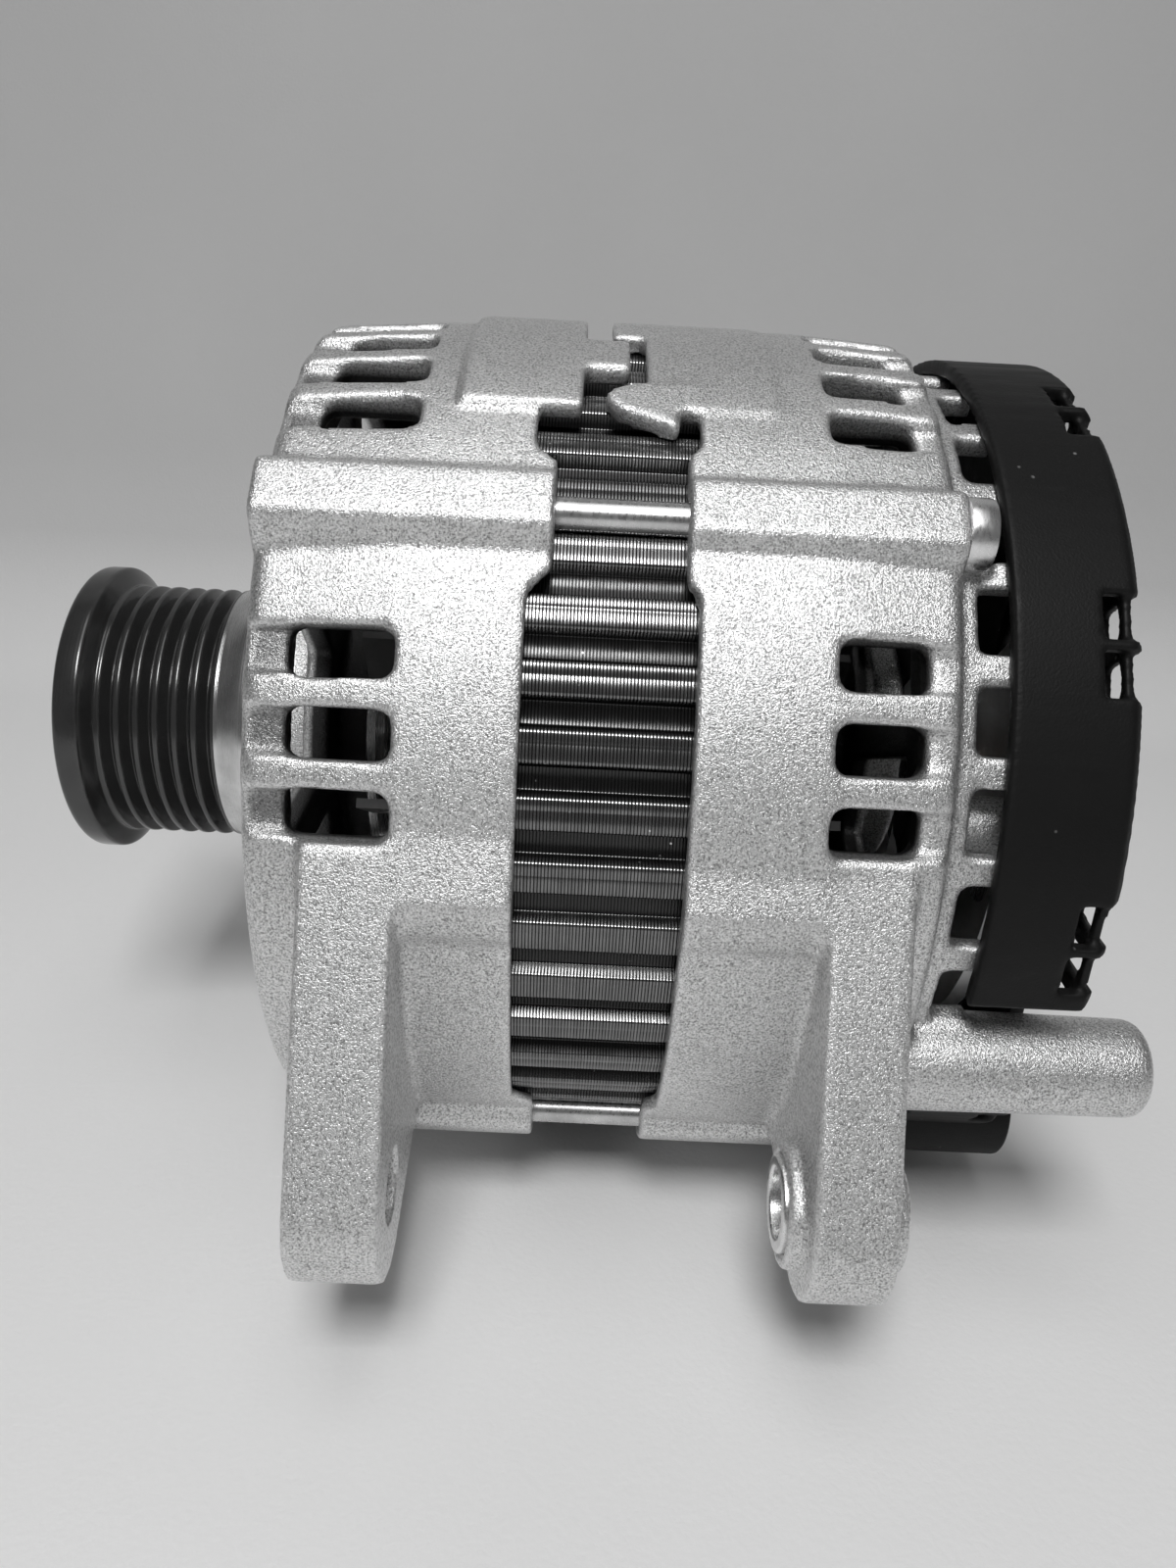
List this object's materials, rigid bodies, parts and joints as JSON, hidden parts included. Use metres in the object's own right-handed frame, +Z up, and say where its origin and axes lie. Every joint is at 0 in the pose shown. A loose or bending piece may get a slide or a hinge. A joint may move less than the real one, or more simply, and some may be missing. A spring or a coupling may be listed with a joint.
{
  "type": "alternator",
  "caption": "Belt-driven claw-pole alternator with split cast housings, ribbed overrunning pulley, slotted stator, pivot ear and lug, and a moulded rear cover.",
  "frame": {"origin": "on the shaft's axis, in the middle plane of the belt on the pulley", "axes": "+X along the shaft from the pulley to the rear cover, +Z up as it stands in the picture with the four through bolts at 45 degrees to it, +Y away from the viewer"},
  "size_m": [0.1893, 0.1761, 0.1554],
  "materials": {
    "cast_aluminium": "as cast, lightly blasted",
    "laminated_steel": "varnished laminations",
    "copper_winding": "enamelled copper",
    "black_plastic": "moulded",
    "pulley_steel": "dark polished coating",
    "machined_steel": "turned",
    "bearing_steel": "ground",
    "zinc_steel": "zinc plated",
    "seal_rubber": "matte",
    "pole_steel": "forged",
    "carbon": "pressed carbon",
    "slip_copper": "turned copper",
    "plate_aluminium": "extruded"
  },
  "bodies": {
    "housing": {"front_housing": "cast_aluminium", "rear_housing": "cast_aluminium", "stator_core": "laminated_steel", "stator_winding": "copper_winding", "through_bolts": "zinc_steel", "front_bearing_outer_ring": "bearing_steel", "front_bearing_seals": "seal_rubber", "rear_bearing_outer_ring": "bearing_steel", "rear_bearing_seals": "seal_rubber", "bearing_sleeve": "black_plastic", "bearing_retainer": "machined_steel", "retainer_screws": "zinc_steel", "rectifier_negative_plate": "plate_aluminium", "rectifier_positive_plate": "plate_aluminium", "negative_diodes": "machined_steel", "positive_diodes": "machined_steel", "rectifier_spacers": "black_plastic", "rectifier_screws": "zinc_steel", "regulator": "black_plastic", "regulator_screws": "zinc_steel", "connector_pins": "slip_copper", "front_brush_spring": "machined_steel", "rear_brush_spring": "machined_steel", "terminal_sleeve": "black_plastic", "terminal_stud": "zinc_steel", "terminal_nut": "zinc_steel", "rear_cover": "black_plastic", "cover_screws": "zinc_steel"},
    "rotor": {"shaft": "machined_steel", "front_claw_pole": "pole_steel", "rear_claw_pole": "pole_steel", "field_coil": "copper_winding", "coil_bobbin": "black_plastic", "front_fan": "machined_steel", "rear_fan": "machined_steel", "front_bearing_inner_ring": "bearing_steel", "rear_bearing_inner_ring": "bearing_steel", "slip_rings": "slip_copper", "slip_ring_insulator": "black_plastic", "clutch_hub": "machined_steel", "clutch_rollers": "bearing_steel", "clutch_bushes": "slip_copper"},
    "pulley": {"pulley": "pulley_steel", "pulley_cap": "black_plastic"},
    "front_bearing_cage": {"front_bearing_cage": "black_plastic", "front_bearing_balls": "bearing_steel"},
    "rear_bearing_cage": {"rear_bearing_cage": "black_plastic", "rear_bearing_balls": "bearing_steel"},
    "front_brush": {"front_brush": "carbon"},
    "rear_brush": {"rear_brush": "carbon"},
    "lug_bush": {"lug_bush": "machined_steel"}
  },
  "joints": [
    {"name": "rotor_spin", "type": "hinge", "parent": "housing", "child": "rotor", "pos_m": [0.082, 0, 0], "axis": [1, 0, 0], "continuous": true},
    {"name": "pulley_overrun", "type": "hinge", "parent": "rotor", "child": "pulley", "pos_m": [0, 0, 0], "axis": [1, 0, 0], "continuous": true},
    {"name": "front_cage_spin", "type": "hinge", "parent": "housing", "child": "front_bearing_cage", "pos_m": [0.033, 0, 0], "axis": [1, 0, 0], "continuous": true},
    {"name": "rear_cage_spin", "type": "hinge", "parent": "housing", "child": "rear_bearing_cage", "pos_m": [0.1315, 0, 0], "axis": [1, 0, 0], "continuous": true},
    {"name": "front_brush_slide", "type": "slide", "parent": "housing", "child": "front_brush", "axis": [0, 0, 1], "range_m": [0, 0.005], "stiffness_N_per_m": 150, "springref_m": -0.02, "deforming": ["front_brush_spring"]},
    {"name": "rear_brush_slide", "type": "slide", "parent": "housing", "child": "rear_brush", "axis": [0, 0, 1], "range_m": [0, 0.005], "stiffness_N_per_m": 150, "springref_m": -0.02, "deforming": ["rear_brush_spring"]},
    {"name": "lug_bush_slide", "type": "slide", "parent": "housing", "child": "lug_bush", "axis": [1, 0, 0], "range_m": [-0.002, 0.002]}
  ],
  "couplings": [
    {"joint": "front_cage_spin", "follows": "rotor_spin", "ratio": 0.3688},
    {"joint": "rear_cage_spin", "follows": "rotor_spin", "ratio": 0.38}
  ]
}
